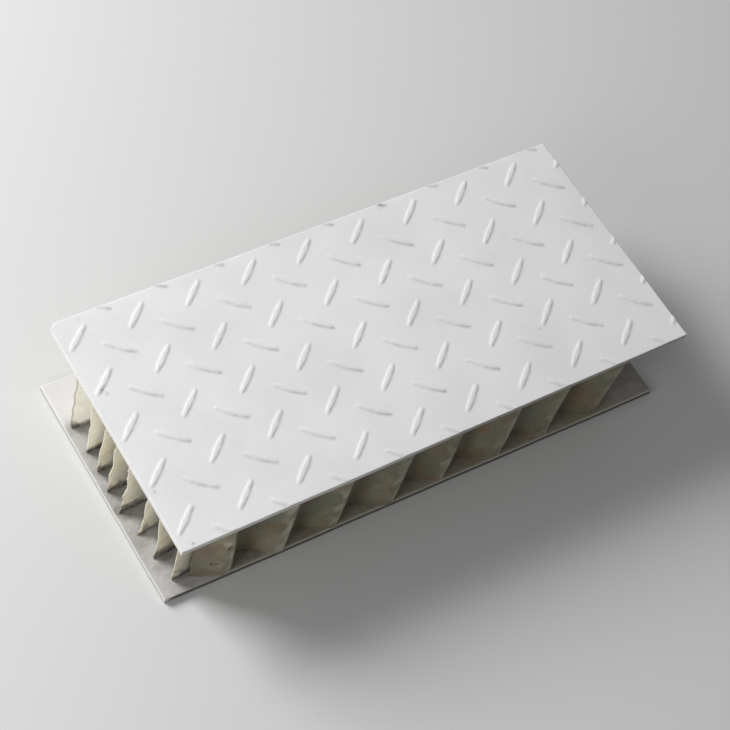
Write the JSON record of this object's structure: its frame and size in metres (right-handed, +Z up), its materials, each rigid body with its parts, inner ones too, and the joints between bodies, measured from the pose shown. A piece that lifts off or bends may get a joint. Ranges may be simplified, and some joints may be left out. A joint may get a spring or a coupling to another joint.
{
  "type": "fiberglass honeycomb panel",
  "caption": "Rectangular sandwich panel offcut: glass-fibre skins, the top one with raised tread bars, bonded to an open core of flat and folded upright sheets.",
  "frame": {"origin": "centre of the underside of the bottom skin", "axes": "+X along the panel's length, +Y across it towards the clipped corner's edge, +Z up through the thickness"},
  "size_m": [0.206, 0.0936, 0.0405],
  "materials": {
    "tread_skin": "satin white gelcoat on glass-fibre laminate",
    "plain_skin": "dull white glass-fibre laminate",
    "core_sheet": "resin-stiffened cream sheet with torn ends"
  },
  "bodies": {
    "root": {"top_skin": "tread_skin", "bottom_skin": "plain_skin", "flat_sheet_01": "core_sheet", "flat_sheet_02": "core_sheet", "flat_sheet_03": "core_sheet", "flat_sheet_04": "core_sheet", "flat_sheet_05": "core_sheet", "flat_sheet_06": "core_sheet", "flat_sheet_07": "core_sheet", "flat_sheet_08": "core_sheet", "flat_sheet_09": "core_sheet", "folded_sheet_01": "core_sheet", "folded_sheet_02": "core_sheet", "folded_sheet_03": "core_sheet", "folded_sheet_04": "core_sheet", "folded_sheet_05": "core_sheet", "folded_sheet_06": "core_sheet", "folded_sheet_07": "core_sheet", "folded_sheet_08": "core_sheet", "folded_sheet_09": "core_sheet", "folded_sheet_10": "core_sheet"}
  },
  "joints": []
}
